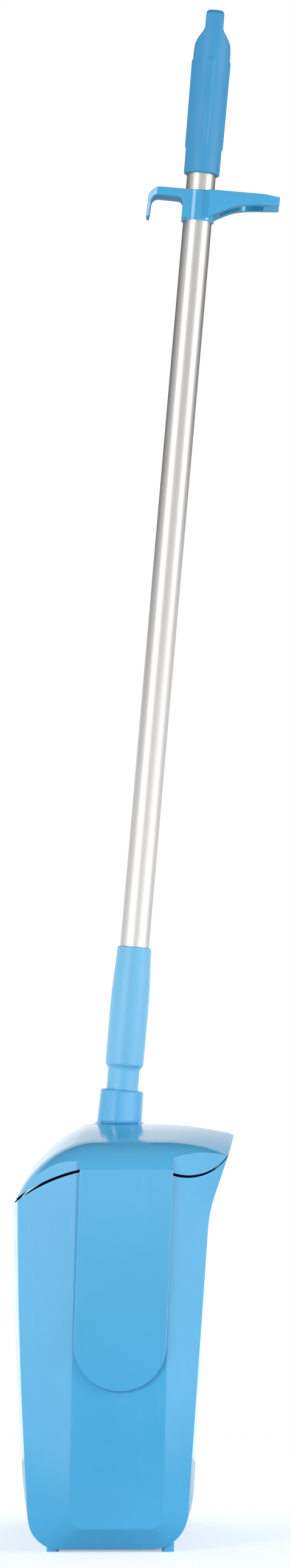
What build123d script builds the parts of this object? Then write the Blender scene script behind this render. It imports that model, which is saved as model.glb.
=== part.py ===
"""Upright dustpan: a bin hung between the two arms of a hood, on a leaning tube handle with a tool holder."""

import os
from math import atan2, cos, radians, sin, sqrt

from build123d import *

os.makedirs("parts", exist_ok=True)

# Hinge axis of the bin, parallel to Y. Side sections are drawn from this point.
PIVOT_X = -22.75
PIVOT_Z = 174.8

# Bin: half widths, wall, and the height its form is drawn to before the rim is cut
EDGE_Y = 145.0
PANEL_Y = 160.0
WALL = 2.6
TOP = 200.0
BOTTOM = -172.8
BOW = 0.1
PANEL_EDGE_R = 3.0
RIM_R_SIDE = 148.0
RIM_R_MIDDLE = 145.9
RIM_TURN = 72.5
RIM_Y = 152.0
LIP_SIDE = (90.2, 156.6)
LIP_MIDDLE = (94.4, 166.9)
FOOT_X = (-56.9, 40.1)
FOOT_Y = 123.0
FOOT_W = 10.2
FOOT_L = 40.0

# Hood: gap to the rim, arms and handle socket
HOOD_R_SIDE = 150.3
HOOD_R_MIDDLE = 147.1
HOOD_LIFT = 0.8
ARM_GAP = 1.0
ARM_T = 3.0
ARM_R = 39.0
ARM_LEAN = 2.1
ARM_Y = PANEL_Y + ARM_GAP + ARM_T
ARM_EDGE_R = 0.9
SHOULDER_R = 31.2
SOCKET_H = 29.0
SOCKET_R_TOP = 18.7
SOCKET_R_BASE = 19.6
SOCKET_EDGE_R = 2.0
SOCKET_FOOT_R = 3.0
BORE_R = 11.5
BORE_L = 38.0
DISH_FROM = (26.5, 183.7)
DISH_TO = (96.2, 170.3)
DISH_R = 600.0

# Hinge hardware
STUB_R = 8.0
STUB_L = 8.8
BUSH_R = 10.0
BUSH_FLANGE_R = 14.0
BUSH_FLANGE_T = 0.6
BOSS_R = 15.0
BOSS_L = 7.0
RUN_CLEAR = 0.05
WASHER_R = 13.0
WASHER_T = 1.6
SCREW_R = 2.5
SCREW_L = 7.0
SCREW_HEAD_R = 5.0
SCREW_HEAD_H = 2.8

# Handle, measured along its axis from the roof of the hood
LEAN = 4.955
SOCKET_AT = (-1.6, 184.1)
TUBE_R = 12.5
TUBE_WALL = 1.25
TUBE_FROM = 58.0
TUBE_TO = 928.0
SPIGOT_R = 11.4
SPIGOT_L = 37.0
NECK_R = 13.7
NECK_TO = 45.5
FERRULE_FROM = 50.5
FERRULE_TO = 153.7
HOLDER_AT = 800.4
GRIP_FROM = 828.2
GRIP_SHOULDER = 943.1
GRIP_TO = 970.5
TAB_T = 15.7
TAB_Y = 17.2
TAB_R = 8.0
HANG_R = 6.0
HANG_AT = 959.0
RIB_W = 5.3
RIB_L = 76.6
RIB_AT = 889.5
RIB_R = 16.6
RIB_EDGE_R = 0.5

# Tool holder, u outward from the tube and w up from HOLDER_AT
SLEEVE_R = 14.2
SLEEVE_LOW = -13.2
SLEEVE_HIGH = 12.7
CLIP_AT = 46.0
CLIP_R = 12.5
CLIP_TIP = 69.7
CLIP_SLOT = 7.0
HOOK_Y = 12.8
HOOK_TIP_Y = 9.7
JAW_Y = 17.4
HOLDER_EDGE_R = 0.7

# Side sections of the bin: back wall x at three heights, where the back corner starts, then the front wall
NEAR = {
    "back": ((-85.2, TOP), (-84.1, -10.0), (-77.4, -147.8)),
    "front": ((56.9, -143.5), (73.7, 97.0), (79.0, 123.5)),
    "lip": LIP_SIDE,
}
MIDDLE = {
    "back": ((-92.6, TOP), (-91.2, -5.0), (-85.8, -112.0)),
    "front": ((63.6, -130.0), (75.3, 97.0), (80.6, 123.5)),
    "lip": LIP_MIDDLE,
}
# Roof of the hood at the middle and 140 mm out: rear arc, flat top, fall to the front
ROOF_MIDDLE = ((-95.9, 100.0), (-64.7, 159.1), (-33.7, 181.1), 183.7, (58.0, 183.7), (114.0, 177.2))
ROOF_SIDE = ((-92.5, 100.0), (-64.8, 151.2), (-38.0, 166.6), 169.2, (37.2, 169.2), (114.0, 147.6))
ROOF_SIDE_Y = 140.0
ROOF_STATIONS = (50.0, 95.0, 125.0, 140.0, 148.0, 156.0, 162.0, 164.5)


def side(y):
    """Plane at depth y with sketch x to the front and sketch y up, both from the hinge."""
    return Plane(origin=(PIVOT_X, y, PIVOT_Z), x_dir=(1, 0, 0), z_dir=(0, -1, 0))


def wall_section(y, shape, inset):
    """Closed side outline of the bin at depth y, drawn in by inset."""
    floor = BOTTOM + inset
    back = [(x + inset, z) for x, z in shape["back"]]
    low, bend, out = [(x - inset, z) for x, z in shape["front"]]
    lip = (shape["lip"][0] - inset, shape["lip"][1])
    crest = out[0] + (lip[0] - out[0]) * (TOP - out[1]) / (lip[1] - out[1])
    with BuildSketch(side(y)) as outline:
        with BuildLine():
            wall = ThreePointArc(*back)
            fall = wall % 1
            r_back = (back[2][1] - floor) / (1 - fall.X)
            heel = TangentArc(wall @ 1, (back[2][0] - r_back * fall.Y, floor), tangent=fall)
            rise = Vector(bend[0] - low[0], bend[1] - low[1]).normalized()
            r_front = (low[1] - floor) / (1 - rise.X)
            toe = TangentArc(low, (low[0] - r_front * rise.Y, floor), tangent=-rise)
            Line(heel @ 1, toe @ 1)
            Line(low, bend)
            TangentArc(bend, out, tangent=rise)
            Line(out, (crest, TOP))
            Line((crest, TOP), wall @ 0)
        make_face()
    return outline.sketch


def panel_section(y, inset):
    """Closed outline of the flat side panel at depth y, with the same run of edges as the wall section."""
    floor = -154.4 + inset
    r = 13.0 - inset
    lean = 0.0222

    def back_x(z):
        return -39.8 + lean * z + inset

    def front_x(z):
        return 39.7 + lean * z - inset

    with BuildSketch(side(y)) as outline:
        with BuildLine():
            wall = Line((back_x(TOP), TOP), (back_x(floor + r), floor + r))
            heel = TangentArc(wall @ 1, (back_x(floor + r) + r, floor), tangent=(0, -1))
            toe = TangentArc(
                (front_x(floor + r), floor + r), (front_x(floor + r) - r, floor), tangent=(0, -1)
            )
            Line(heel @ 1, toe @ 1)
            Line((front_x(floor + r), floor + r), (front_x(97.0) + BOW, 97.0))
            Line((front_x(97.0) + BOW, 97.0), (front_x(123.5) + BOW, 123.5))
            Line((front_x(123.5) + BOW, 123.5), (front_x(TOP), TOP))
            Line((front_x(TOP), TOP), wall @ 0)
        make_face()
    return outline.sketch


def add_form(inset, mode):
    """Adds or removes the whole form of the bin, solid and tall, drawn in by inset."""
    edge_y = EDGE_Y - 0.73 * inset
    panel_y = PANEL_Y - inset
    loft(
        [
            wall_section(-edge_y, NEAR, inset),
            wall_section(0, MIDDLE, inset),
            wall_section(edge_y, NEAR, inset),
        ],
        mode=mode,
    )
    for hand in (-1, 1):
        loft(
            [wall_section(hand * edge_y, NEAR, inset), panel_section(hand * panel_y, 0.3 * inset)],
            ruled=True,
            mode=mode,
        )


def on_panel_edge(edge):
    """True for an edge round a flat side panel."""
    spots = [edge @ t for t in (0.0, 0.5, 1.0)]
    return all(abs(abs(p.Y) - PANEL_Y) < 0.05 for p in spots) and spots[1].Z < PIVOT_Z + TOP - 1


def rim_section(y, radius, lip, above):
    """Region above or below the rim line at depth y: an arc about the hinge that sweeps up to the lip."""
    with BuildSketch(side(y)) as region:
        with BuildLine():
            arc = CenterArc((0, 0), radius, 160, RIM_TURN - 160)
            sweep_up = TangentArc(arc @ 1, lip, tangent=arc % 1)
            end = (150, lip[1] + (150 - lip[0]) * 0.6)
            far_z = 280 if above else -220
            Polyline(sweep_up @ 1, end, (150, far_z), (-170, far_z), (-170, (arc @ 0).Y), arc @ 0)
        make_face()
    return region.sketch


def cut_rim(radius_side, radius_middle, lip_side, lip_middle, above):
    """Removes all that lies above or below the rim."""
    loft(
        [
            rim_section(-RIM_Y, radius_side, lip_side, above),
            rim_section(0, radius_middle, lip_middle, above),
            rim_section(RIM_Y, radius_side, lip_side, above),
        ],
        mode=Mode.SUBTRACT,
    )
    for hand in (-1, 1):
        extrude(
            rim_section(hand * RIM_Y, radius_side, lip_side, above),
            amount=30,
            dir=(0, hand, 0),
            mode=Mode.SUBTRACT,
        )


def shoulder_drop(y):
    """How far the roof has turned down at depth y, on an arc that leaves the crown at its own slope."""
    slope = atan2(2 * (ROOF_MIDDLE[3] - ROOF_SIDE[3]), ROOF_SIDE_Y)
    reach = max(abs(y) - ROOF_SIDE_Y, 0) + SHOULDER_R * sin(slope)
    return SHOULDER_R * cos(slope) - sqrt(max(SHOULDER_R**2 - reach**2, 0))


def roof_section(y, drop):
    """Closed side outline of the roof at depth y: middle profile eased to the side one, then the shoulder."""
    share = min(abs(y) / ROOF_SIDE_Y, 1.0) ** 2
    turn = shoulder_drop(abs(y) + 0.7 * drop) + drop

    def ease(a, b):
        return (a[0] + (b[0] - a[0]) * share, a[1] + (b[1] - a[1]) * share)

    def draw_in(point):
        length = sqrt(point[0] ** 2 + point[1] ** 2)
        return (point[0] * (1 - turn / length), point[1] * (1 - turn / length))

    low, bow, crease = (ease(ROOF_MIDDLE[i], ROOF_SIDE[i]) for i in range(3))
    low = draw_in(low)
    bow = draw_in(bow)
    crease = (crease[0], crease[1] - turn)
    crest = ROOF_MIDDLE[3] + (ROOF_SIDE[3] - ROOF_MIDDLE[3]) * share - turn
    fall = (ease(ROOF_MIDDLE[4], ROOF_SIDE[4])[0], crest)
    front = ease(ROOF_MIDDLE[5], ROOF_SIDE[5])
    front = (front[0], front[1] - turn)
    with BuildSketch(side(y)) as region:
        with BuildLine():
            rear = ThreePointArc(low, bow, crease)
            slope = rear % 1
            r = (crest - crease[1]) / (1 - slope.X)
            ease_in = TangentArc(crease, (crease[0] + r * slope.Y, crest), tangent=slope)
            Line(ease_in @ 1, fall)
            TangentArc(fall, front, tangent=(1, 0))
            Polyline(front, (front[0], -60), (low[0], -60), rear @ 0)
        make_face()
    return region.sketch


def keep_under_roof(drop):
    """Keeps only what lies under the crowned roof and its shoulders, lowered by drop."""
    stations = [-y for y in reversed(ROOF_STATIONS)] + [0.0] + list(ROOF_STATIONS)
    loft([roof_section(y, drop) for y in stations], mode=Mode.INTERSECT)


handle_side = Plane(
    origin=(PIVOT_X + SOCKET_AT[0], 0, PIVOT_Z + SOCKET_AT[1]),
    x_dir=(cos(radians(LEAN)), 0, -sin(radians(LEAN))),
    z_dir=(0, -1, 0),
)
handle_dir = Vector(sin(radians(LEAN)), 0, cos(radians(LEAN)))
handle_axis = Axis(handle_side.origin, handle_dir)


def handle_plane(at):
    """Plane square to the handle at a distance along it, sketch x towards the front."""
    return Plane(
        origin=handle_side.origin + handle_dir * at, x_dir=handle_side.x_dir, z_dir=handle_dir
    )


# Bin
with BuildPart() as bin_part:
    add_form(0, Mode.ADD)
    fillet(bin_part.edges().filter_by(on_panel_edge), PANEL_EDGE_R)
    with BuildSketch(Plane(origin=(PIVOT_X, 0, 0))):
        with Locations([(x, hand * FOOT_Y) for x in FOOT_X for hand in (-1, 1)]):
            RectangleRounded(FOOT_W, FOOT_L, 3.0)
    extrude(amount=8.0)
    add_form(WALL, Mode.SUBTRACT)
    cut_rim(RIM_R_SIDE, RIM_R_MIDDLE, LIP_SIDE, LIP_MIDDLE, True)
    for hand in (-1, 1):
        with BuildSketch(side(hand * (PANEL_Y - 1.0))):
            Circle(BOSS_R)
        extrude(amount=BOSS_L - 1.0, dir=(0, -hand, 0))
        with BuildSketch(side(hand * (PANEL_Y + 1.0))):
            Circle(BUSH_R)
        extrude(amount=BOSS_L + 2.0, dir=(0, -hand, 0), mode=Mode.SUBTRACT)


def arm_outline(y, length):
    """Strip of one arm at depth y, leaning about the hinge, with a round lower end."""
    with BuildSketch(side(y)) as outline:
        with Locations(Location((0, 0, 0), (0, 0, -ARM_LEAN))):
            Rectangle(2 * ARM_R, length, align=(Align.CENTER, Align.MIN))
        Circle(ARM_R)
    return outline.sketch


def dish_circle(drop):
    """Circle swept forward to press the shallow dish into the front of the roof, lowered by drop."""
    along = Vector(DISH_TO[0] - DISH_FROM[0], 0, DISH_TO[1] - DISH_FROM[1]).normalized()
    up = Vector(-along.Z, 0, along.X)
    start = Vector(PIVOT_X + DISH_FROM[0], 0, PIVOT_Z + DISH_FROM[1] - drop)
    with BuildSketch(Plane(origin=start + up * DISH_R, x_dir=(0, 1, 0), z_dir=along)) as circle:
        Circle(DISH_R)
    return circle.sketch


# Hood: hollow, upper ends of the arms, then the whole moulding with its stub axles and handle socket
with BuildPart() as hood_void:
    add_form(WALL, Mode.ADD)
    keep_under_roof(WALL)
    extrude(dish_circle(WALL), amount=120, mode=Mode.SUBTRACT)

with BuildPart() as arm_tops:
    for hand in (-1, 1):
        extrude(arm_outline(hand * (PANEL_Y - 24.0), 190), amount=24.0 + ARM_GAP + ARM_T, dir=(0, hand, 0))
    keep_under_roof(0)
    fillet(
        arm_tops.edges().filter_by(
            lambda e: abs(abs(e.center().Y) - ARM_Y) < 0.05 and min((e @ 0).Z, (e @ 1).Z) < PIVOT_Z + 100
        ),
        ARM_EDGE_R,
    )

with BuildPart() as arm_plates:
    add(arm_tops.part)
    with BuildSketch(Plane(origin=(PIVOT_X, 0, 0))):
        with Locations((0, ARM_Y - ARM_T / 2), (0, ARM_T / 2 - ARM_Y)):
            Rectangle(200, ARM_T)
    extrude(amount=400, mode=Mode.INTERSECT)

with BuildPart() as hood_part:
    add_form(0, Mode.ADD)
    fillet(hood_part.edges().filter_by(on_panel_edge), PANEL_EDGE_R)
    keep_under_roof(0)
    add(arm_tops.part)
    extrude(dish_circle(0), amount=120, mode=Mode.SUBTRACT)
    add(hood_void.part, mode=Mode.SUBTRACT)
    cut_rim(
        HOOD_R_SIDE,
        HOOD_R_MIDDLE,
        (LIP_SIDE[0] - 0.2, LIP_SIDE[1] + HOOD_LIFT),
        (LIP_MIDDLE[0] - 0.2, LIP_MIDDLE[1] + HOOD_LIFT),
        False,
    )
    add(arm_plates.part)
    for hand in (-1, 1):
        with BuildSketch(side(hand * (PANEL_Y + ARM_GAP + 1.0))):
            Circle(STUB_R)
        extrude(amount=STUB_L + 1.0, dir=(0, -hand, 0))
        with BuildSketch(side(hand * (PANEL_Y + ARM_GAP - STUB_L))):
            Circle(SCREW_R)
        extrude(amount=SCREW_L, dir=(0, hand, 0), mode=Mode.SUBTRACT)
    with BuildSketch(handle_side):
        with BuildLine():
            Line((0, SOCKET_H), (SOCKET_R_TOP - SOCKET_EDGE_R, SOCKET_H))
            edge = TangentArc(
                (SOCKET_R_TOP - SOCKET_EDGE_R, SOCKET_H),
                (SOCKET_R_TOP, SOCKET_H - SOCKET_EDGE_R),
                tangent=(1, 0),
            )
            Polyline(
                edge @ 1,
                (SOCKET_R_BASE, -2.5),
                (BORE_R + 4, -5),
                (BORE_R + 4, SOCKET_H - BORE_L - 4),
                (0, SOCKET_H - BORE_L - 4),
                (0, SOCKET_H),
            )
        make_face()
    revolve(axis=handle_axis)
    with BuildSketch(Plane(origin=handle_side.origin, x_dir=(1, 0, 0), z_dir=(0, -1, 0))):
        with BuildLine():
            flare = ThreePointArc(
                (SOCKET_R_BASE - 1.0, SOCKET_FOOT_R + 1.5),
                (SOCKET_R_BASE + 0.55, SOCKET_FOOT_R - 1.9),
                (SOCKET_R_BASE + SOCKET_FOOT_R, -0.4),
            )
            Polyline(flare @ 1, (SOCKET_R_BASE, -2.0), (0, -2.0), (0, SOCKET_FOOT_R + 1.5), flare @ 0)
        make_face()
    revolve(axis=Axis(handle_side.origin, (0, 0, 1)))
    with BuildSketch(handle_plane(SOCKET_H - BORE_L)):
        Circle(BORE_R)
    extrude(amount=BORE_L + 5, mode=Mode.SUBTRACT)

# Hinge hardware, one set each side
hinge_parts = {}
for hand, tag in ((1, "left"), (-1, "right")):
    stub_end = PANEL_Y + ARM_GAP - STUB_L
    with BuildPart() as bush:
        with BuildSketch(side(hand * PANEL_Y)):
            Circle(BUSH_FLANGE_R)
            Circle(STUB_R + RUN_CLEAR, mode=Mode.SUBTRACT)
        extrude(amount=BUSH_FLANGE_T, dir=(0, hand, 0))
        with BuildSketch(side(hand * PANEL_Y)):
            Circle(BUSH_R)
            Circle(STUB_R + RUN_CLEAR, mode=Mode.SUBTRACT)
        extrude(amount=BOSS_L + 0.4, dir=(0, -hand, 0))
    with BuildPart() as washer:
        with BuildSketch(side(hand * stub_end)):
            Circle(WASHER_R)
            Circle(SCREW_R + 0.2, mode=Mode.SUBTRACT)
        extrude(amount=WASHER_T, dir=(0, -hand, 0))
    head_y = stub_end - WASHER_T
    with BuildPart() as screw:
        with BuildSketch(side(hand * head_y)):
            Circle(SCREW_R)
        extrude(amount=WASHER_T + SCREW_L - 0.5, dir=(0, hand, 0))
        with BuildSketch(side(hand * head_y)):
            Circle(SCREW_HEAD_R)
        extrude(amount=SCREW_HEAD_H, dir=(0, -hand, 0))
        fillet(
            screw.edges().filter_by(
                lambda e: abs(abs(e.center().Y) - (head_y - SCREW_HEAD_H)) < 0.01
            ),
            1.4,
        )
        with BuildSketch(side(hand * (head_y - SCREW_HEAD_H - 0.5))):
            Rectangle(5.2, 1.1)
            Rectangle(1.1, 5.2)
        extrude(amount=2.0, dir=(0, hand, 0), mode=Mode.SUBTRACT)
    hinge_parts["pivot_bush_" + tag] = bush.part
    hinge_parts["pivot_washer_" + tag] = washer.part
    hinge_parts["pivot_screw_" + tag] = screw.part

# Handle tube
with BuildPart() as tube_part:
    with BuildSketch(handle_plane(TUBE_FROM)):
        Circle(TUBE_R)
        Circle(TUBE_R - TUBE_WALL, mode=Mode.SUBTRACT)
    extrude(amount=TUBE_TO - TUBE_FROM)

# Ferrule: spigot in the hood, neck, swelling sleeve round the foot of the tube
with BuildPart() as ferrule_part:
    with BuildSketch(handle_side):
        with BuildLine():
            Polyline(
                (0, TUBE_FROM),
                (0, SOCKET_H - SPIGOT_L),
                (SPIGOT_R - 1.0, SOCKET_H - SPIGOT_L),
                (SPIGOT_R, SOCKET_H - SPIGOT_L + 1.0),
                (SPIGOT_R, SOCKET_H),
                (NECK_R, SOCKET_H),
                (NECK_R, NECK_TO),
            )
            ThreePointArc((NECK_R, NECK_TO), (14.4, 48.3), (16.1, FERRULE_FROM))
            ThreePointArc((16.1, FERRULE_FROM), (16.4, 51.4), (16.45, 52.6))
            Spline(
                (16.45, 52.6),
                (16.65, 90.0),
                (16.35, 118.0),
                (15.1, 142.0),
                (14.75, FERRULE_TO - 1.2),
                tangents=((0.01, 1.0), (-0.03, 1.0)),
            )
            ThreePointArc(
                (14.75, FERRULE_TO - 1.2), (14.35, FERRULE_TO - 0.35), (13.55, FERRULE_TO)
            )
            Polyline((13.55, FERRULE_TO), (TUBE_R, FERRULE_TO), (TUBE_R, TUBE_FROM), (0, TUBE_FROM))
        make_face()
    revolve(axis=handle_axis)

# Grip with its raised ribs and hanging tab
with BuildPart() as grip_part:
    with BuildSketch(handle_side):
        with BuildLine():
            Polyline((0, TUBE_TO), (TUBE_R, TUBE_TO), (TUBE_R, GRIP_FROM), (14.0, GRIP_FROM))
            ThreePointArc((14.0, GRIP_FROM), (15.05, GRIP_FROM + 0.45), (15.5, GRIP_FROM + 1.5))
            Polyline(
                (15.5, GRIP_FROM + 1.5),
                (16.1, GRIP_SHOULDER),
                (16.1, GRIP_TO),
                (0, GRIP_TO),
                (0, TUBE_TO),
            )
        make_face()
    revolve(axis=handle_axis)
    for turn in (0, 90, 180, 270):
        out_dir = handle_side.x_dir.rotate(Axis((0, 0, 0), handle_dir), turn)
        with BuildSketch(
            Plane(
                origin=handle_side.origin + handle_dir * RIB_AT + out_dir * 14.0,
                x_dir=handle_dir,
                z_dir=out_dir,
            )
        ):
            SlotOverall(RIB_L, RIB_W)
        extrude(amount=RIB_R - 14.0)
        rib_top = grip_part.faces().sort_by(Axis((0, 0, 0), out_dir))[-1]
        fillet(rib_top.edges(), RIB_EDGE_R)
    half_tab = TAB_T / 2
    for hand in (-1, 1):
        with BuildSketch(handle_side):
            with BuildLine():
                ThreePointArc(
                    (hand * 17.5, GRIP_SHOULDER - 6.0),
                    (hand * 16.0, GRIP_SHOULDER - 1.2),
                    (hand * 13.9, GRIP_SHOULDER + 2.0),
                )
                Line((hand * 13.9, GRIP_SHOULDER + 2.0), (hand * 9.3, GRIP_SHOULDER + 8.0))
                ThreePointArc(
                    (hand * 9.3, GRIP_SHOULDER + 8.0),
                    (hand * 8.2, GRIP_SHOULDER + 10.2),
                    (hand * half_tab, GRIP_SHOULDER + 12.6),
                )
                Line((hand * half_tab, GRIP_SHOULDER + 12.6), (hand * half_tab, GRIP_TO - 4.5))
                ThreePointArc(
                    (hand * half_tab, GRIP_TO - 4.5),
                    (hand * (half_tab - 1.32), GRIP_TO - 1.32),
                    (hand * (half_tab - 4.5), GRIP_TO),
                )
                Polyline(
                    (hand * (half_tab - 4.5), GRIP_TO),
                    (hand * (half_tab - 4.5), GRIP_TO + 10),
                    (hand * 25, GRIP_TO + 10),
                    (hand * 25, GRIP_SHOULDER - 6.0),
                    (hand * 17.5, GRIP_SHOULDER - 6.0),
                )
            make_face()
        extrude(amount=25, both=True, mode=Mode.SUBTRACT)
    crosswise = Plane(origin=handle_side.origin, x_dir=(0, 1, 0), z_dir=handle_side.x_dir)
    with BuildSketch(crosswise):
        with BuildLine():
            Polyline(
                (-TAB_Y, GRIP_TO - TAB_R),
                (-TAB_Y, GRIP_FROM - 5),
                (TAB_Y, GRIP_FROM - 5),
                (TAB_Y, GRIP_TO - TAB_R),
            )
            TangentArc((TAB_Y, GRIP_TO - TAB_R), (TAB_Y - TAB_R, GRIP_TO), tangent=(0, 1))
            Line((TAB_Y - TAB_R, GRIP_TO), (TAB_R - TAB_Y, GRIP_TO))
            TangentArc((TAB_R - TAB_Y, GRIP_TO), (-TAB_Y, GRIP_TO - TAB_R), tangent=(-1, 0))
        make_face()
    extrude(amount=25, both=True, mode=Mode.INTERSECT)
    with BuildSketch(crosswise):
        with Locations((0, HANG_AT)):
            Circle(HANG_R)
    extrude(amount=25, both=True, mode=Mode.SUBTRACT)

# Tool holder: sleeve on the tube, hook behind, clip jaws in front
with BuildPart() as hook:
    with BuildSketch(handle_side):
        with BuildLine():
            Polyline(
                (-2.0, HOLDER_AT + SLEEVE_HIGH),
                (-2.0, HOLDER_AT + SLEEVE_LOW + 0.9),
                (-SLEEVE_R, HOLDER_AT + SLEEVE_LOW + 0.9),
                (-SLEEVE_R, HOLDER_AT + 0.6),
            )
            ThreePointArc(
                (-SLEEVE_R, HOLDER_AT + 0.6), (-15.6, HOLDER_AT + 4.0), (-19.0, HOLDER_AT + 5.4)
            )
            Line((-19.0, HOLDER_AT + 5.4), (-35.0, HOLDER_AT + 5.7))
            ThreePointArc(
                (-35.0, HOLDER_AT + 5.7), (-39.6, HOLDER_AT + 3.9), (-41.4, HOLDER_AT - 0.5)
            )
            Line((-41.4, HOLDER_AT - 0.5), (-42.2, HOLDER_AT - 12.2))
            ThreePointArc(
                (-42.2, HOLDER_AT - 12.2), (-43.5, HOLDER_AT - 13.5), (-44.9, HOLDER_AT - 12.1)
            )
            Line((-44.9, HOLDER_AT - 12.1), (-44.4, HOLDER_AT + 1.0))
            ThreePointArc(
                (-44.4, HOLDER_AT + 1.0), (-41.6, HOLDER_AT + 9.2), (-34.0, HOLDER_AT + SLEEVE_HIGH)
            )
            Line((-34.0, HOLDER_AT + SLEEVE_HIGH), (-2.0, HOLDER_AT + SLEEVE_HIGH))
        make_face()
    extrude(amount=20, both=True)
    with BuildSketch(handle_plane(HOLDER_AT - 20)):
        Polygon(
            (0, -HOOK_Y),
            (-37, -HOOK_Y),
            (-46, -HOOK_TIP_Y),
            (-46, HOOK_TIP_Y),
            (-37, HOOK_Y),
            (0, HOOK_Y),
            align=None,
        )
    extrude(amount=50, mode=Mode.INTERSECT)
    fillet(
        hook.edges().filter_by(
            lambda e: abs(e.center().Y) > HOOK_TIP_Y - 0.5
            and handle_side.to_local_coords(e.center()).X < -7.0
            and abs((e @ 0).Y) > HOOK_TIP_Y - 0.5
            and abs((e @ 1).Y) > HOOK_TIP_Y - 0.5
        ),
        HOLDER_EDGE_R,
    )

with BuildPart() as jaws:
    with BuildSketch(handle_plane(HOLDER_AT + SLEEVE_LOW)):
        Polygon(
            (0, 13.4),
            (5.4, 13.4),
            (8.8, JAW_Y),
            (55.5, JAW_Y),
            (CLIP_TIP, 15.4),
            (CLIP_TIP, -15.4),
            (55.5, -JAW_Y),
            (8.8, -JAW_Y),
            (5.4, -13.4),
            (0, -13.4),
            align=None,
        )
    extrude(amount=SLEEVE_HIGH - SLEEVE_LOW + 1)
    with BuildSketch(handle_side):
        with BuildLine():
            Spline(
                (-1, HOLDER_AT - 13.0),
                (14, HOLDER_AT - 7.8),
                (30, HOLDER_AT - 0.2),
                (45.5, HOLDER_AT + 2.8),
                (CLIP_TIP + 0.5, HOLDER_AT + 4.4),
            )
            Polyline(
                (CLIP_TIP + 0.5, HOLDER_AT + 4.4),
                (CLIP_TIP + 0.5, HOLDER_AT + 11.6),
                (56, HOLDER_AT + 13.0),
                (-1, HOLDER_AT + 13.0),
                (-1, HOLDER_AT - 13.0),
            )
        make_face()
    extrude(amount=20, both=True, mode=Mode.INTERSECT)
    fillet(
        jaws.edges().filter_by(
            lambda e: min(abs((e @ 0).Y), abs((e @ 1).Y)) > 15.0
            and handle_side.to_local_coords(e.center()).X > 9.0
            and e.length > 6.5
        ),
        HOLDER_EDGE_R,
    )
    with BuildSketch(handle_plane(HOLDER_AT + SLEEVE_LOW)):
        with Locations((CLIP_AT, 0)):
            Circle(CLIP_R)
        Polygon(
            (19, CLIP_SLOT),
            (56, CLIP_SLOT),
            (CLIP_TIP + 1, 13.4),
            (CLIP_TIP + 1, -13.4),
            (56, -CLIP_SLOT),
            (19, -CLIP_SLOT),
            align=None,
        )
    extrude(amount=SLEEVE_HIGH - SLEEVE_LOW + 1, mode=Mode.SUBTRACT)

with BuildPart() as holder_part:
    with BuildSketch(handle_plane(HOLDER_AT + SLEEVE_LOW)):
        Circle(SLEEVE_R)
    extrude(amount=SLEEVE_HIGH - SLEEVE_LOW)
    fillet(holder_part.edges(), 0.5)
    add(hook.part)
    add(jaws.part)
    with BuildSketch(handle_plane(HOLDER_AT + SLEEVE_LOW - 5)):
        Circle(TUBE_R)
    extrude(amount=50, mode=Mode.SUBTRACT)

nodes = {
    "bin": bin_part.part,
    "hood": hood_part.part,
    "handle_tube": tube_part.part,
    "handle_ferrule": ferrule_part.part,
    "handle_grip": grip_part.part,
    "tool_holder": holder_part.part,
}
nodes.update(hinge_parts)
for name, part in nodes.items():
    part.label = name
    export_step(part, "parts/" + name + ".step")
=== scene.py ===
# %% [markdown]
# # An upright dustpan with a swinging bin
# The dustpan stands closed on its four feet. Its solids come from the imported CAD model, already in metres
# and in place, so this lesson only dresses them: a camera, a plain studio, a finish for every part, and a
# grip with soft ribs.

# %% Load the frame
import math

import bpy
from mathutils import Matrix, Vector


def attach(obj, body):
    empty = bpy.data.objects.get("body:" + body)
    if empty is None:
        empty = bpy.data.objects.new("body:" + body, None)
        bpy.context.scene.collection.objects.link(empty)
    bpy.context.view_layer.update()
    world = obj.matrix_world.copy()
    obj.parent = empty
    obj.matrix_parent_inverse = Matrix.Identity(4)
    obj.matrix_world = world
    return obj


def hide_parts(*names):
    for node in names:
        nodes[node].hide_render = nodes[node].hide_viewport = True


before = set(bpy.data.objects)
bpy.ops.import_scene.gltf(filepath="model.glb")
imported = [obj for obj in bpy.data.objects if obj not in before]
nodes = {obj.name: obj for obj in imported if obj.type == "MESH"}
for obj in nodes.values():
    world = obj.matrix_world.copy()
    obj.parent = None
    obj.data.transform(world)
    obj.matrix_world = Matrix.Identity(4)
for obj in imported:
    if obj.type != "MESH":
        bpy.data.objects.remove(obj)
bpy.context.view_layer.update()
scene = bpy.context.scene
scene.view_settings.view_transform = "Standard"

# %% [markdown]
# ## The camera
# The photograph was taken from the side, about four metres away, with the lens a little above the bin.
# Upright lines stay upright, so the camera looks level and the lens is shifted up to frame the long handle.
# Tilting the camera instead would make the sides of the bin lean together.

# %% Place the camera
PHOTO_H = 2576
CAMERA_AT = (-0.00155, -3.95, 0.388)
FOCAL_PX = 7453.0
HORIZON_PX = 1790.0
SENSOR_MM = 36.0

lens = bpy.data.cameras.new("photo_camera")
lens.sensor_fit = "AUTO"
lens.sensor_width = SENSOR_MM
lens.lens = SENSOR_MM * FOCAL_PX / PHOTO_H
lens.shift_y = (HORIZON_PX - PHOTO_H / 2) / PHOTO_H
camera = bpy.data.objects.new("photo_camera", lens)
camera.location = CAMERA_AT
camera.rotation_euler = (math.radians(90), 0, 0)
scene.collection.objects.link(camera)
scene.camera = camera
print("lens", round(lens.lens, 1), "mm, shift", round(lens.shift_y, 3))

# %% [markdown]
# ## Helpers for nodes
# Every finish below is a small tree of nodes. Made one socket at a time, a tree is hard to read, so these
# helpers add a node with its settings and its inputs in one line. An input is given a number, a colour or
# the output of another node. New nodes fill a grid in the editor, in the order in which they are made.

# %% Make helpers for nodes
GRID_COLUMNS = 10
GRID_STEP = (220, 300)


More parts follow.
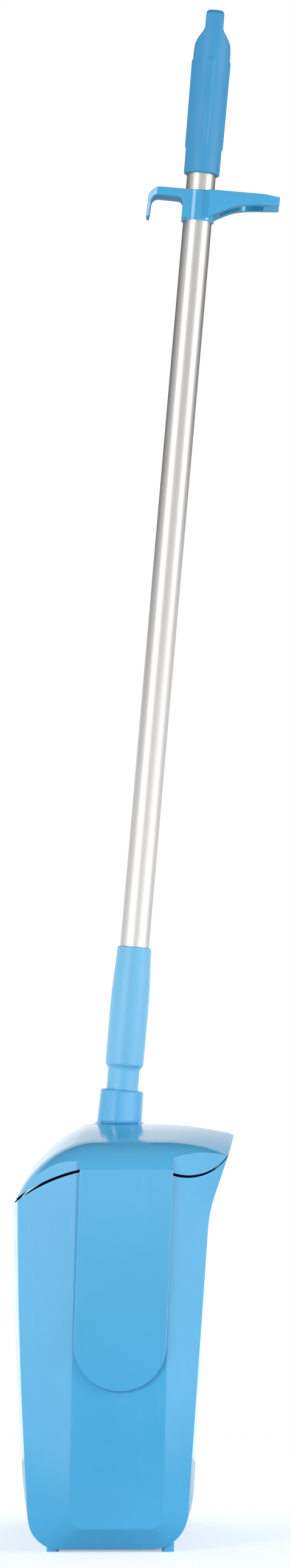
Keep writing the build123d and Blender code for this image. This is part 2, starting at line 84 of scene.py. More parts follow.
def add_node(tree, kind, inputs=(), **settings):
    """Adds a node, sets its properties, and gives each named input a value or a link."""
    row, column = divmod(len(tree.nodes), GRID_COLUMNS)
    made = tree.nodes.new(kind)
    made.location = (column * GRID_STEP[0], -row * GRID_STEP[1])
    for name, value in settings.items():
        setattr(made, name, value)
    for name, value in dict(inputs).items():
        if isinstance(value, bpy.types.NodeSocket):
            tree.links.new(value, made.inputs[name])
        else:
            made.inputs[name].default_value = value
    return made


def maths(tree, operation, *values):
    """One step of arithmetic on numbers and sockets."""
    return add_node(tree, "ShaderNodeMath", enumerate(values), operation=operation).outputs[0]


def ramp(tree, value, before, after=(0.0, 1.0), **settings):
    """Takes a value from one range to another and holds it at the ends."""
    ends = {"From Min": before[0], "From Max": before[1], "To Min": after[0], "To Max": after[1]}
    return add_node(tree, "ShaderNodeMapRange", {"Value": value, **ends}, **settings).outputs["Result"]


def smooth_ramp(tree, value, before, after=(0.0, 1.0)):
    """The same with soft ends."""
    return ramp(tree, value, before, after, interpolation_type="SMOOTHSTEP")


def blend(tree, share, a, b):
    """A number between a and b."""
    inputs = {"Factor": share, "A": a, "B": b}
    return add_node(tree, "ShaderNodeMix", inputs, data_type="FLOAT").outputs["Result"]


def object_place(tree):
    """Where a point lies in its object."""
    return add_node(tree, "ShaderNodeTexCoord").outputs["Object"]


def split(tree, vector):
    """The X, Y and Z of a vector."""
    return add_node(tree, "ShaderNodeSeparateXYZ", {"Vector": vector}).outputs


def start_group(name, inputs, outputs):
    """A shader group with its sockets; each input has a name, a kind and a start value."""
    group = bpy.data.node_groups.new(name, "ShaderNodeTree")
    for label, kind, value in inputs:
        socket = group.interface.new_socket(label, in_out="INPUT", socket_type=kind)
        socket.default_value = value
    for label, kind in outputs:
        group.interface.new_socket(label, in_out="OUTPUT", socket_type=kind)
    return group, add_node(group, "NodeGroupInput").outputs


print("helpers: add_node, maths, ramp, smooth_ramp, blend, object_place, split, start_group")

# %% [markdown]
# ## The studio
# The photograph has a plain white ground with no edge, and the object mirrors different things at different
# heights. A real studio gets that with sheets of card that stand just outside the picture. Here each sheet
# asks what kind of ray has met it: a camera ray sees plain white, a mirrored ray sees the card, and any
# other ray takes light from it. These helpers make a sheet and ask that question.

# %% Make helpers for the studio
def seen_by(tree, *kinds):
    """1 for rays of the named kinds, 0 for the others."""
    path = add_node(tree, "ShaderNodeLightPath").outputs
    found = path[kinds[0]]
    for kind in kinds[1:]:
        found = maths(tree, "MAXIMUM", found, path[kind])
    return found


def stage_sheet(name, corners, faces):
    """A sheet of the studio, which is not part of the object, and the empty tree of its material."""
    mesh = bpy.data.meshes.new(name)
    mesh.from_pydata(corners, [], faces)
    made = bpy.data.objects.new(name, mesh)
    scene.collection.objects.link(made)
    paint = bpy.data.materials.new(name)
    paint.use_nodes = True
    paint.node_tree.nodes.clear()
    mesh.materials.append(paint)
    return made, paint.node_tree


print("helpers: seen_by, stage_sheet")

# %% [markdown]
# ## The floor
# Near the feet the floor is a pale sheet that takes a soft shadow. Further out it fades to the white of the
# world, so no horizon shows. The low bevels of the bin mirror the floor in front, to both sides of the
# camera, so the floor is bright there for mirrored rays.

# %% Lay the floor
FLOOR_HALF = 20.0
SHEET_COLOUR = (0.7, 0.7, 0.7, 1)
SHEET_LIFT = 0.45
SHEET_FADE = (0.45, 1.3)
FAR_FLOOR = 0.15
FLOOR_SIDES = 1.9
SIDES_FROM = (0.3, 0.55)
FLOOR_FRONT = (-0.1, -0.4)

floor, tree = stage_sheet(
    "studio_floor",
    [(x * FLOOR_HALF, y * FLOOR_HALF, 0) for x, y in ((-1, -1), (1, -1), (1, 1), (-1, 1))],
    [(0, 1, 2, 3)],
)
place = object_place(tree)
parts = split(tree, place)
direct = seen_by(tree, "Is Camera Ray", "Is Transmission Ray")
sides = ramp(tree, maths(tree, "ABSOLUTE", parts["X"]), SIDES_FROM, (0.0, FLOOR_SIDES))
front_sides = maths(tree, "MULTIPLY", sides, ramp(tree, parts["Y"], FLOOR_FRONT))
mirrored = maths(tree, "MULTIPLY_ADD", seen_by(tree, "Is Glossy Ray"), front_sides, FAR_FLOOR)
far_sheet = add_node(tree, "ShaderNodeEmission", {"Strength": blend(tree, direct, mirrored, 1.0)})
lift = add_node(tree, "ShaderNodeEmission", {"Strength": maths(tree, "MULTIPLY", direct, SHEET_LIFT)})
matt = add_node(tree, "ShaderNodeBsdfDiffuse", {"Color": SHEET_COLOUR})
near_sheet = add_node(tree, "ShaderNodeAddShader", {0: matt.outputs[0], 1: lift.outputs[0]})
away = add_node(tree, "ShaderNodeVectorMath", {0: place}, operation="LENGTH").outputs["Value"]
fade = smooth_ramp(tree, away, SHEET_FADE)
whole = add_node(tree, "ShaderNodeMixShader", {0: fade, 1: near_sheet.outputs[0], 2: far_sheet.outputs[0]})
add_node(tree, "ShaderNodeOutputMaterial", {"Surface": whole.outputs[0]})
print("floor:", floor.name, len(tree.nodes), "nodes")

# %% [markdown]
# ## The white card
# The low bin was wrapped in white card, while the top of the handle stood above it in a dimmer room: the
# roof of the hood mirrors white, and the tube grows greyer towards the grip. A low ring of card does the
# same here. Camera rays and the lamps' light pass through it, so the object can be seen from every side.
# What it shows in mirrors follows a curve over its height in front, is plain at the back, and glows at the
# low sides, where the bevels of the bin and the rounded edges of the arms look.

# %% Stand the white card round the object
CARD_HIGH = 0.95
CARD_BACK = 0.75
CARD_SIDE = 1.0
CARD_FRONT = 3.0
CARD_LIGHT = 1.64
CARD_TOP_LIGHT = 0.7
CARD_DIM_FROM = 0.35
BACK_IN_MIRRORS = 1.18
FRONT_IN_MIRRORS = ((0.0, 0.95), (0.25, 1.5), (0.42, 3.3), (0.5, 2.8), (0.66, 1.35), (0.95, 0.95))
FRONT_FADE = (0.2, -0.6)
CURVE_TOP = 4.0
SIDE_GLOW = 1.35
SIDE_EDGE = (0.9 * CARD_SIDE, 0.98 * CARD_SIDE)
GLOW_BELOW = (0.5, 0.25)

ring = [
    (-CARD_SIDE, CARD_BACK / 2),
    (-CARD_SIDE / 2, CARD_BACK),
    (CARD_SIDE / 2, CARD_BACK),
    (CARD_SIDE, CARD_BACK / 2),
    (CARD_SIDE, -CARD_FRONT),
    (-CARD_SIDE, -CARD_FRONT),
]
turns = len(ring)
card, tree = stage_sheet(
    "white_card",
    [(x, y, z) for z in (0.0, CARD_HIGH) for x, y in ring],
    [(i, (i + 1) % turns, (i + 1) % turns + turns, i + turns) for i in range(turns)],
)
parts = split(tree, object_place(tree))
front_curve = add_node(tree, "ShaderNodeFloatCurve", {"Value": ramp(tree, parts["Z"], (0.0, CARD_HIGH))})
front_curve.mapping.clip_max_y = CURVE_TOP
dots = front_curve.mapping.curves[0].points
while len(dots) < len(FRONT_IN_MIRRORS):
    dots.new(0.5, 1.0)
for dot, (height, level) in zip(dots, FRONT_IN_MIRRORS):
    dot.location = (height / CARD_HIGH, level)
front_curve.mapping.update()
front = ramp(tree, parts["Y"], FRONT_FADE)
all_round = blend(tree, front, BACK_IN_MIRRORS, front_curve.outputs["Value"])
sides = ramp(tree, maths(tree, "ABSOLUTE", parts["X"]), SIDE_EDGE, (0.0, SIDE_GLOW))
low_sides = maths(tree, "MULTIPLY", sides, ramp(tree, parts["Z"], GLOW_BELOW))
mirrored = maths(tree, "MULTIPLY_ADD", low_sides, front, all_round)
light = ramp(tree, parts["Z"], (CARD_DIM_FROM, CARD_HIGH), (CARD_LIGHT, CARD_TOP_LIGHT))
level = blend(tree, seen_by(tree, "Is Glossy Ray"), light, mirrored)
shine = add_node(tree, "ShaderNodeEmission", {"Strength": level})
through = add_node(tree, "ShaderNodeBsdfTransparent")
passing = seen_by(tree, "Is Camera Ray", "Is Shadow Ray")
pick = add_node(tree, "ShaderNodeMixShader", {0: passing, 1: shine.outputs[0], 2: through.outputs[0]})
add_node(tree, "ShaderNodeOutputMaterial", {"Surface": pick.outputs[0]})
print("card:", card.name, len(tree.nodes), "nodes")

# %% [markdown]
# ## The room
# Past the card is the room. The camera sees it white. It lights the object from the sides and hardly from
# above, which keeps the roof of the hood from turning pale. In mirrors it is dimmer behind the object than
# in front, and that gives the tube and the grip their darker edges.

# %% Paint the room
ROOM_LIGHT = 1.64
ROOM_TOP_LIGHT = 0.06
ROOM_RISE = (0.1, 0.55)
ROOM_IN_MIRRORS = 0.84
ROOM_BEHIND = 0.15
ROOM_DEPTH = (-0.1, 0.75)

room = bpy.data.worlds.new("studio_room")
room.use_nodes = True
scene.world = room
tree = room.node_tree
tree.nodes.clear()
parts = split(tree, add_node(tree, "ShaderNodeTexCoord").outputs["Generated"])
light = ramp(tree, parts["Z"], ROOM_RISE, (ROOM_LIGHT, ROOM_TOP_LIGHT))
mirrored = ramp(tree, parts["Y"], ROOM_DEPTH, (ROOM_IN_MIRRORS, ROOM_BEHIND))
unseen = blend(tree, seen_by(tree, "Is Glossy Ray"), light, mirrored)
level = blend(tree, seen_by(tree, "Is Camera Ray", "Is Transmission Ray"), unseen, 1.0)
glow = add_node(tree, "ShaderNodeBackground", {"Color": (1, 1, 1, 1), "Strength": level})
add_node(tree, "ShaderNodeOutputWorld", {"Surface": glow.outputs[0]})
print("room:", room.name, len(tree.nodes), "nodes")

# %% [markdown]
# ## The lamps
# Two square lamps stand well in front and to the sides. They are weak beside the card: they only put the
# two soft bands on the tube and give the arms a light side. The right one stands further round, so its
# band lies nearer the edge of the tube, as in the photograph.

# %% Hang the lamps
LAMP_SIZE = 1.6
LAMP_AIM = Vector((0, 0, 0.4))


def softbox(name, at, watts):
    """A square lamp that faces the object."""
    lamp = bpy.data.lights.new(name, "AREA")
    lamp.shape = "RECTANGLE"
    lamp.size = lamp.size_y = LAMP_SIZE
    lamp.energy = watts
    stand = bpy.data.objects.new(name, lamp)
    stand.location = at
    stand.rotation_euler = (LAMP_AIM - Vector(at)).to_track_quat("-Z", "Y").to_euler()
    scene.collection.objects.link(stand)
    return stand


lamps = [
    softbox("softbox_left", (-2.6, -3.4, 1.6), 66),
    softbox("softbox_right", (3.7, -1.5, 1.6), 60),
]
print("lamps:", [lamp.name for lamp in lamps])

# %% [markdown]
# ## Moulded plastic
# The bin, hood, holder, ferrule and grip are all injection mouldings. A moulded skin is never one flat
# colour: the pigment drifts a little, the gloss changes from patch to patch, and the steel of the mould
# leaves a fine grain. One node group gives all three, and each finish sets its own strengths.

# %% Make the moulded skin
DRIFTS_PER_METRE = 11.0
PATCHES_PER_METRE = 37.0
NOISE_MIDDLE = (0.3, 0.7)


def moulded_skin():
    group, entry = start_group(
        "moulded_skin",
        [
            ("Pigment", "NodeSocketColor", (0.1, 0.4, 0.7, 1)),
            ("Drift", "NodeSocketFloat", 0.04),
            ("Gloss", "NodeSocketFloat", 0.3),
            ("Gloss spread", "NodeSocketFloat", 0.05),
            ("Grain per metre", "NodeSocketFloat", 900.0),
            ("Grain height", "NodeSocketFloat", 0.00002),
        ],
        [
            ("Colour", "NodeSocketColor"),
            ("Roughness", "NodeSocketFloat"),
            ("Normal", "NodeSocketVector"),
        ],
    )
    place = object_place(group)

    def noise(scale, detail):
        inputs = {"Vector": place, "Scale": scale, "Detail": detail}
        return add_node(group, "ShaderNodeTexNoise", inputs).outputs["Fac"]

    drift = ramp(group, noise(DRIFTS_PER_METRE, 3.0), NOISE_MIDDLE, (-1.0, 1.0))
    value = maths(group, "MULTIPLY_ADD", drift, entry["Drift"], 1.0)
    tone = add_node(group, "ShaderNodeHueSaturation", {"Value": value, "Color": entry["Pigment"]})
    patch = ramp(group, noise(PATCHES_PER_METRE, 4.0), NOISE_MIDDLE, (-1.0, 1.0))
    rough = maths(group, "MULTIPLY_ADD", patch, entry["Gloss spread"], entry["Gloss"])
    height = maths(group, "MULTIPLY", noise(entry["Grain per metre"], 2.0), entry["Grain height"])
    bump = add_node(group, "ShaderNodeBump", {"Strength": 1.0, "Distance": 1.0, "Height": height})
    results = {"Colour": tone.outputs["Color"], "Roughness": rough, "Normal": bump.outputs["Normal"]}
    add_node(group, "NodeGroupOutput", results)
    return group


skin_group = moulded_skin()
print("group:", skin_group.name, len(skin_group.nodes), "nodes")

# %% [markdown]
# ## Handling marks
# A dustpan is knocked, dragged and stacked. Even a clean one has faint pale streaks where it rubbed on
# things, a few pinprick specks, and feet that are scuffed by the floor. Streaks come from noise stretched
# upright, kept only where a broad noise allows; specks come from the cells of a Voronoi pattern; the scuffed
# feet come from height. The group gives one mask, and each plastic decides how strongly it shows.

# %% Make the handling marks
STREAK_STRETCH = (1.0, 1.0, 0.07)
STREAK_CUT = (0.60, 0.72)
RUBBED_PER_METRE = 14.0
RUBBED_CUT = (0.48, 0.66)
SPECK_EDGE = (0.055, 0.03)
SPECK_CHANCE = (0.82, 0.86)
GRIT_PER_METRE = 420.0
GRIT_CUT = (0.4, 0.6)


def handling_marks():
    group, entry = start_group(
        "handling_marks",
        [
            ("Amount", "NodeSocketFloat", 0.3),
            ("Streaks per metre", "NodeSocketFloat", 260.0),
            ("Specks per metre", "NodeSocketFloat", 55.0),
            ("Scuffed below", "NodeSocketFloat", 0.012),
        ],
        [("Mask", "NodeSocketFloat")],
    )
    place = object_place(group)

    def kept_noise(vector, scale, detail, cut):
        inputs = {"Vector": vector, "Scale": scale, "Detail": detail}
        return smooth_ramp(group, add_node(group, "ShaderNodeTexNoise", inputs).outputs["Fac"], cut)

    upright = add_node(group, "ShaderNodeMapping", {"Vector": place, "Scale": STREAK_STRETCH})
    streaks = kept_noise(upright.outputs["Vector"], entry["Streaks per metre"], 2.0, STREAK_CUT)
    rubbed = maths(group, "MULTIPLY", streaks, kept_noise(place, RUBBED_PER_METRE, 1.0, RUBBED_CUT))
    cells = add_node(group, "ShaderNodeTexVoronoi", {"Vector": place, "Scale": entry["Specks per metre"]})
    speck = smooth_ramp(group, cells.outputs["Distance"], SPECK_EDGE)
    draw = add_node(group, "ShaderNodeSeparateColor", {"Color": cells.outputs["Color"]})
    specks = maths(group, "MULTIPLY", speck, smooth_ramp(group, draw.outputs["Red"], SPECK_CHANCE))
    low = ramp(group, split(group, place)["Z"], (0.0, entry["Scuffed below"]), (1.0, 0.0))
    scuffed = maths(group, "MULTIPLY", low, kept_noise(place, GRIT_PER_METRE, 3.0, GRIT_CUT))
    marked = maths(group, "MAXIMUM", maths(group, "MAXIMUM", rubbed, specks), scuffed)
    add_node(group, "NodeGroupOutput", {"Mask": maths(group, "MULTIPLY", marked, entry["Amount"])})
    return group


marks_group = handling_marks()
print("group:", marks_group.name, len(marks_group.nodes), "nodes")

# %% [markdown]
# ## The plastics
# Each plastic puts the two groups in front of one shader. Marks lift the colour towards a chalky tone and
# dull the gloss a little; on a smooth moulding that is what a rub really does. The bin and the hood share
# one recipe, and the bin has a material of its own because its rim is treated below.

# %% Mix the plastics
PLASTIC_IOR = 1.49
RUB_DULLS = 0.25
CHALK = 0.62
CHALK_SHARE = 0.6


def moulding(name, pigment, drift, gloss, spread, grain, grain_height, marks):
    """A plastic finish: the moulded skin and the handling marks in front of one shader."""
    made = bpy.data.materials.new(name)
    made.use_nodes = True
    tree = made.node_tree
    shader = tree.nodes["Principled BSDF"].inputs
    shader["IOR"].default_value = PLASTIC_IOR
    settings = {
        "Pigment": (*pigment, 1),
        "Drift": drift,
        "Gloss": gloss,
        "Gloss spread": spread,
        "Grain per metre": grain,
        "Grain height": grain_height,
    }
    skin = add_node(tree, "ShaderNodeGroup", settings, node_tree=skin_group).outputs
    mask = add_node(tree, "ShaderNodeGroup", {"Amount": marks}, node_tree=marks_group).outputs["Mask"]
    chalky = (*[c + (CHALK - c) * CHALK_SHARE for c in pigment], 1)
    tone = add_node(tree, "ShaderNodeMixRGB", {"Fac": mask, "Color1": skin["Colour"], "Color2": chalky})
    dulled = maths(tree, "MULTIPLY_ADD", mask, RUB_DULLS, skin["Roughness"])
    tree.links.new(tone.outputs["Color"], shader["Base Color"])
    tree.links.new(dulled, shader["Roughness"])
    tree.links.new(skin["Normal"], shader["Normal"])
    return made


BODY_SKIN = ((0.068, 0.41, 0.725), 0.035, 0.13, 0.03, 700, 0.000002, 0.05)
body_blue = moulding("body_blue", *BODY_SKIN)
bin_blue = moulding("bin_blue", *BODY_SKIN)
holder_blue = moulding("holder_blue", (0.045, 0.34, 0.62), 0.03, 0.16, 0.03, 700, 0.000002, 0.05)
grip_blue = moulding("grip_blue", (0.033, 0.28, 0.55), 0.04, 0.55, 0.05, 1600, 0.00001, 0.04)
ferrule_blue = moulding("ferrule_blue", (0.15, 0.48, 0.75), 0.03, 0.4, 0.04, 700, 0.000004, 0.06)
bush_white = moulding("bush_white", (0.78, 0.78, 0.75), 0.02, 0.35, 0.03, 700, 0.000004, 0.05)
plastics = (body_blue, bin_blue, holder_blue, grip_blue, ferrule_blue, bush_white)
print("plastics:", [plastic.name for plastic in plastics])

# %% [markdown]
# ## The trimmed rim of the bin
# The skin of the bin is glossy, but its rim was cut and scraped after moulding, so it is dull. On the part
# it only shows as the dark line of the gap under the hood. A glossy rim would mirror daylight from the far
# gap into that line. The rim is the one high face of the bin that looks up, so height and slope find it.

# %% Dull the rim of the bin
RIM_ABOVE = 0.25
RIM_DULL = 0.9
RIM_SLOPE = (0.3, 0.5)


def dull_rim(material):
    """Swaps gloss for a dull cut where a high face looks upwards."""
    tree = material.node_tree
    roughness = tree.nodes["Principled BSDF"].inputs["Roughness"]
    skin_roughness = roughness.links[0].from_socket
    high = maths(tree, "GREATER_THAN", split(tree, object_place(tree))["Z"], RIM_ABOVE)
    facing = add_node(tree, "ShaderNodeNewGeometry").outputs["Normal"]
    upward = ramp(tree, split(tree, facing)["Z"], RIM_SLOPE)
    cut = maths(tree, "MULTIPLY", high, upward)
    tree.links.new(blend(tree, cut, skin_roughness, RIM_DULL), roughness)


dull_rim(bin_blue)
print("dull rim on", bin_blue.name)

# %% [markdown]
# ## Satin aluminium and steel
# The tube is drawn and anodised. Drawing leaves hair lines along the tube, and anodising softens the
# shine. Noise stretched along the handle gives the lines; the mapping is turned to the handle's lean.

# %% Make the metals
LEAN = math.radians(4.955)
LINES_PER_METRE = 1400.0
LINE_STRETCH = (1, 1, 0.01)
LINE_SHADE = 0.94
LINE_SPREAD = 0.05


def drawn_metal(name, tint, gloss, line_height):
    """A metal with hair lines along the handle, in its colour, its gloss and its surface."""
    made = bpy.data.materials.new(name)
    made.use_nodes = True
    tree = made.node_tree
    shader = tree.nodes["Principled BSDF"].inputs
    shader["Metallic"].default_value = 1.0
    turned = {"Vector": object_place(tree), "Rotation": (0, -LEAN, 0), "Scale": LINE_STRETCH}
    along = add_node(tree, "ShaderNodeMapping", turned).outputs["Vector"]
    noise = {"Vector": along, "Scale": LINES_PER_METRE, "Detail": 3.0}
    lines = add_node(tree, "ShaderNodeTexNoise", noise).outputs["Fac"]
    shade = (*[LINE_SHADE * c for c in tint], 1)
    tone = add_node(tree, "ShaderNodeMixRGB", {"Fac": lines, "Color1": shade, "Color2": (*tint, 1)})
    rough = ramp(tree, lines, (0.0, 1.0), (gloss - LINE_SPREAD, gloss + LINE_SPREAD))
    bump = add_node(tree, "ShaderNodeBump", {"Distance": line_height, "Height": lines})
    tree.links.new(tone.outputs["Color"], shader["Base Color"])
    tree.links.new(rough, shader["Roughness"])
    tree.links.new(bump.outputs["Normal"], shader["Normal"])
    return made


tube_aluminium = drawn_metal("tube_aluminium", (0.49, 0.485, 0.475), 0.42, 0.000004)
fixing_steel = drawn_metal("fixing_steel", (0.62, 0.61, 0.60), 0.28, 0.000002)
print("metals:", tube_aluminium.name, fixing_steel.name)

# %% [markdown]
# ## The grip, spun and pressed with Geometry Nodes
# The grip is a soft sleeve pushed over the tube. Four low ribs run along it, and its top is pinched flat
# into a tab with an eye to hang it by. The CAD solid has hard little steps round its ribs; on the real one
# they swell out of the sleeve. The shape follows a rule, so a node tree can make it. The input is one
# drawn line: each point gives a radius, how far the pinch lets the sleeve reach, and a height along the
# handle. The tree spins the line round the handle, swells the ribs, pinches the top and bores the eye.

# %% Draw the line of the grip
TUBE_R = 0.0125
TUBE_END = 0.928
GRIP_FROM, GRIP_SHOULDER, GRIP_TO = 0.8282, 0.9431, 0.9705
LOW_R, HIGH_R = 0.0155, 0.0161
HEM_R = 0.0015
HEM_STEPS = 8
FREE = 0.05
TAB_HALF = 0.00785
TAB_EDGE_R = 0.0045
TAB_CORNER_R = 0.008
TAB_Y = 0.0172
ROWS = 300
PINCH = (
    (-0.012, 0.022),
    (-0.006, 0.0175),
    (-0.0012, 0.016),
    (0.002, 0.0139),
    (0.008, 0.0093),
    (0.0102, 0.0082),
    (0.0126, TAB_HALF),
    (1.0, TAB_HALF),
)


def rounded(radius, over):
    """How far a rounded end of this radius has drawn in from its centre line to its edge."""
    return math.sqrt(max(radius**2 - over**2, 0.0)) - radius


def pinch_at(height):
    """How far the sleeve reaches to each side of the pinch at a height along the handle."""
    rise = height - GRIP_SHOULDER
    if rise < PINCH[0][0]:
        return FREE
    for (z0, t0), (z1, t1) in zip(PINCH, PINCH[1:]):
        if rise <= z1:
            reach = t0 + (t1 - t0) * (rise - z0) / (z1 - z0)
            break
    return reach + rounded(TAB_EDGE_R, max(height - (GRIP_TO - TAB_EDGE_R), 0.0))


def radius_at(height):
    """Radius of the sleeve at a height, with the rounded corners of the tab at its end."""
    share = (height - GRIP_FROM) / (GRIP_SHOULDER - GRIP_FROM)
    radius = LOW_R + (HIGH_R - LOW_R) * min(share, 1.0)
    return min(radius, TAB_Y + rounded(TAB_CORNER_R, max(height - (GRIP_TO - TAB_CORNER_R), 0.0)))


line = [(0.0, FREE, TUBE_END), (TUBE_R, FREE, TUBE_END), (TUBE_R, FREE, GRIP_FROM)]
for step in range(HEM_STEPS + 1):
    turn = math.radians(90 * step / HEM_STEPS)
    hem = LOW_R - HEM_R + HEM_R * math.sin(turn)
    line.append((hem, FREE, GRIP_FROM + HEM_R * (1 - math.cos(turn))))
for step in range(1, ROWS + 1):
    height = GRIP_FROM + HEM_R + (GRIP_TO - GRIP_FROM - HEM_R) * step / ROWS
    line.append((radius_at(height), pinch_at(height), height))
line.append((0.0, TAB_HALF, GRIP_TO))
sketch = bpy.data.meshes.new("grip_line")
sketch.from_pydata(line, [(i, i + 1) for i in range(len(line) - 1)], [])
grip = bpy.data.objects.new("soft_grip", sketch)
scene.collection.objects.link(grip)
print("grip line:", len(line), "points")

# %% [markdown]
# The tree is built in three parts. The first spreads a grid, one row for each drawn point and one column
# for each step round the handle, and reads the drawn points by their rows. It uses a grid rather than a
# curve with a profile, because each point carries three numbers and not only a place.

# %% Build the tree: spread the drawn line
HANDLE_FOOT = Vector((-0.02435, 0.0, 0.3589))
HANDLE_UP = Vector((math.sin(LEAN), 0.0, math.cos(LEAN)))
HANDLE_OUT = Vector((math.cos(LEAN), 0.0, -math.sin(LEAN)))
HANDLE_SIDE = Vector((0.0, 1.0, 0.0))
SKIN_FROM = TUBE_R + 0.0015
GRIP_SIZES = (
    ("Steps round", "NodeSocketInt", 160),
    ("Ribs", "NodeSocketInt", 4),
    ("Rib width", "NodeSocketFloat", 0.0053),
    ("Rib height", "NodeSocketFloat", 0.0008),
    ("Rib flank", "NodeSocketFloat", 0.0012),
    ("Rib from", "NodeSocketFloat", 0.8512),
    ("Rib to", "NodeSocketFloat", 0.9278),
    ("Eye radius", "NodeSocketFloat", 0.006),
    ("Eye height", "NodeSocketFloat", 0.959),
)


def start_tree(name, sizes):
    """A geometry tree with named sizes and a material, and its input sockets."""
    tree = bpy.data.node_groups.new(name, "GeometryNodeTree")
    add_socket = tree.interface.new_socket
    add_socket("Geometry", in_out="INPUT", socket_type="NodeSocketGeometry")
    for label, kind, value in sizes:
        add_socket(label, in_out="INPUT", socket_type=kind).default_value = value
    add_socket("Material", in_out="INPUT", socket_type="NodeSocketMaterial")
    add_socket("Geometry", in_out="OUTPUT", socket_type="NodeSocketGeometry")
    return tree, add_node(tree, "NodeGroupInput").outputs


def spread_line(tree, entry):
    """The grid, the turn of each of its points, and the radius, reach and height drawn for it."""
    size = add_node(tree, "GeometryNodeAttributeDomainSize", {"Geometry": entry["Geometry"]})
    rows = size.outputs["Point Count"]
    columns = maths(tree, "ADD", entry["Steps round"], 1)
    net = add_node(tree, "GeometryNodeMeshGrid", {"Vertices X": rows, "Vertices Y": columns})
    across = split(tree, net.outputs["UV Map"])
    row = maths(tree, "ROUND", maths(tree, "MULTIPLY", across["X"], maths(tree, "SUBTRACT", rows, 1)))
    turn = maths(tree, "MULTIPLY", across["Y"], math.tau)
    drawn = add_node(tree, "GeometryNodeInputPosition").outputs[0]
    pick = {"Geometry": entry["Geometry"], "Value": drawn, "Index": row}
    point = add_node(tree, "GeometryNodeSampleIndex", pick, data_type="FLOAT_VECTOR").outputs["Value"]
    return net.outputs["Mesh"], turn, split(tree, point)


spin_and_pinch, entry = start_tree("spin_and_pinch", GRIP_SIZES)
net, turn, (radius, reach, height) = spread_line(spin_and_pinch, entry)
print("tree:", spin_and_pinch.name, "reads", len(line), "drawn points")

# %% [markdown]
# The second part bends the grid into the grip. A rib is the place where the way to the nearest rib line,
# round the sleeve and along it, is less than half the rib's width; a smooth step makes its flank soft.
# The pinch is a soft limit, x / (1 + (x / reach)^16)^(1/16): it leaves small values alone and holds large
# ones at the reach, so the flat of the tab runs into the round with a soft edge.

# %% Build the tree: swell the ribs and pinch the tab
PINCH_POWER = 16


def rib_swell(tree, entry, turn, radius, height):
    """How far the ribs lift a point of the sleeve."""
    share = maths(tree, "DIVIDE", maths(tree, "MULTIPLY", turn, entry["Ribs"]), math.tau)
    nearest = maths(tree, "SUBTRACT", share, maths(tree, "ROUND", share))
    angle = maths(tree, "DIVIDE", maths(tree, "MULTIPLY", nearest, math.tau), entry["Ribs"])
    aside = maths(tree, "MULTIPLY", angle, radius)
    half_wide = maths(tree, "MULTIPLY", entry["Rib width"], 0.5)
    before = maths(tree, "SUBTRACT", maths(tree, "ADD", entry["Rib from"], half_wide), height)
    after = maths(tree, "SUBTRACT", height, maths(tree, "SUBTRACT", entry["Rib to"], half_wide))
    beyond = maths(tree, "MAXIMUM", maths(tree, "MAXIMUM", before, after), 0.0)
    squares = maths(tree, "ADD", maths(tree, "POWER", aside, 2), maths(tree, "POWER", beyond, 2))
    inner = maths(tree, "SUBTRACT", half_wide, entry["Rib flank"])
    outer = maths(tree, "ADD", half_wide, entry["Rib flank"])
    swell = smooth_ramp(tree, maths(tree, "SQRT", squares), (inner, outer), (entry["Rib height"], 0.0))
    return maths(tree, "MULTIPLY", swell, maths(tree, "GREATER_THAN", radius, SKIN_FROM))


def pinched(tree, across, reach):
    """Holds a distance softly at the reach of the pinch."""
    ratio = maths(tree, "DIVIDE", maths(tree, "ABSOLUTE", across), reach)
    excess = maths(tree, "ADD", maths(tree, "POWER", ratio, PINCH_POWER), 1.0)
    return maths(tree, "DIVIDE", across, maths(tree, "POWER", excess, 1 / PINCH_POWER))


def handle_point(tree, height, steps):
    """A point at a height along the handle, moved by steps of a direction and a distance."""
    place = HANDLE_FOOT
    for direction, distance in (*steps, (HANDLE_UP, height)):
        inputs = {0: direction, "Scale": distance}
        moved = add_node(tree, "ShaderNodeVectorMath", inputs, operation="SCALE").outputs[0]
        place = add_node(tree, "ShaderNodeVectorMath", {0: moved, 1: place}, operation="ADD").outputs[0]
    return place


swell = rib_swell(spin_and_pinch, entry, turn, radius, height)
spun = maths(spin_and_pinch, "ADD", radius, swell)
out = maths(spin_and_pinch, "MULTIPLY", spun, maths(spin_and_pinch, "COSINE", turn))
side = maths(spin_and_pinch, "MULTIPLY", spun, maths(spin_and_pinch, "SINE", turn))
steps = ((HANDLE_OUT, pinched(spin_and_pinch, out, reach)), (HANDLE_SIDE, side))
skin_place = handle_point(spin_and_pinch, height, steps)
print("tree:", len(spin_and_pinch.nodes), "nodes so far")

# %% [markdown]
# The third part sews the seam and the poles, so the mesh is closed, and bores the eye with a pin, as a drill
# would. It ends with real geometry and a material.

# %% Build the tree: sew the skin and bore the eye
SEW_WITHIN = 0.00001
PIN_SIDES = 48
PIN_LENGTH = 0.08


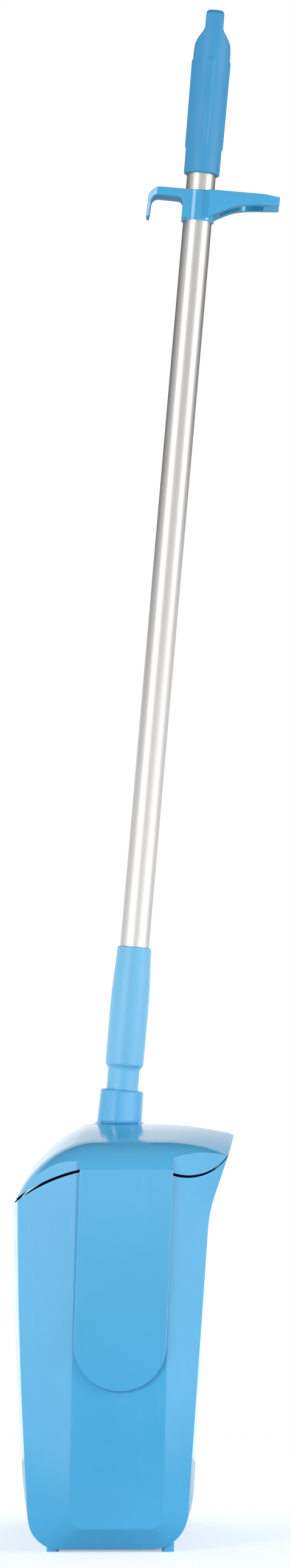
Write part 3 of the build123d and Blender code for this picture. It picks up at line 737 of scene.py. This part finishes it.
def sew_and_bore(tree, entry, net, skin_place):
    put = add_node(tree, "GeometryNodeSetPosition", {"Geometry": net, "Position": skin_place})
    seam = {"Geometry": put.outputs[0], "Distance": SEW_WITHIN}
    sewn = add_node(tree, "GeometryNodeMergeByDistance", seam)
    pin_size = {"Vertices": PIN_SIDES, "Depth": PIN_LENGTH, "Radius": entry["Eye radius"]}
    pin = add_node(tree, "GeometryNodeMeshCylinder", pin_size)
    pin_place = {
        "Geometry": pin.outputs["Mesh"],
        "Rotation": (0, math.pi / 2 + LEAN, 0),
        "Translation": handle_point(tree, entry["Eye height"], ()),
    }
    eye = add_node(tree, "GeometryNodeTransform", pin_place)
    pair = {"Mesh 1": sewn.outputs[0], "Mesh 2": eye.outputs[0]}
    bored = add_node(tree, "GeometryNodeMeshBoolean", pair, operation="DIFFERENCE", solver="EXACT")
    whole = add_node(tree, "GeometryNodeRealizeInstances", {"Geometry": bored.outputs["Mesh"]})
    finish = {"Geometry": whole.outputs[0], "Material": entry["Material"]}
    painted = add_node(tree, "GeometryNodeSetMaterial", finish)
    add_node(tree, "NodeGroupOutput", {"Geometry": painted.outputs[0]})


sew_and_bore(spin_and_pinch, entry, net, skin_place)
print("tree:", len(spin_and_pinch.nodes), "nodes")

# %% [markdown]
# Now the tree is run on the drawn line. Its result is kept as a plain mesh, and the modifier goes, because
# the grip has to leave the scene as an ordinary piece. It rides on the handle in place of the CAD grip.
# Edges sharper than forty degrees, such as the rim of the eye, stay crisp.

# %% Run the tree and keep a plain mesh
RIB_HEIGHT = 0.0009
CRISP_FROM = math.radians(40)

sockets = spin_and_pinch.interface.items_tree
named = {socket.name: socket.identifier for socket in sockets if socket.in_out == "INPUT"}
press = grip.modifiers.new("spin_and_pinch", "NODES")
press.node_group = spin_and_pinch
press[named["Rib height"]] = RIB_HEIGHT
press[named["Material"]] = grip_blue
shaped = bpy.data.meshes.new_from_object(grip.evaluated_get(bpy.context.evaluated_depsgraph_get()))
grip.modifiers.clear()
grip.data = shaped
shaped.set_sharp_from_angle(angle=CRISP_FROM)
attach(grip, "handle")
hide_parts("handle_grip")
print("soft_grip:", len(shaped.polygons), "faces")

# %% [markdown]
# ## Dressing the parts
# Every CAD part gets one finish over its whole surface, as a part from one mould or one length of tube has.
# The bushes are white plastic, and the washers and screws of the hinge are steel.

# %% Dress the CAD nodes
FINISH = {
    "bin": bin_blue,
    "hood": body_blue,
    "tool_holder": holder_blue,
    "handle_grip": grip_blue,
    "handle_ferrule": ferrule_blue,
    "handle_tube": tube_aluminium,
}
for name, node in nodes.items():
    finish = FINISH.get(name) or (bush_white if "bush" in name else fixing_steel)
    node.data.materials.clear()
    node.data.materials.append(finish)
print("dressed:", len(nodes), "parts")
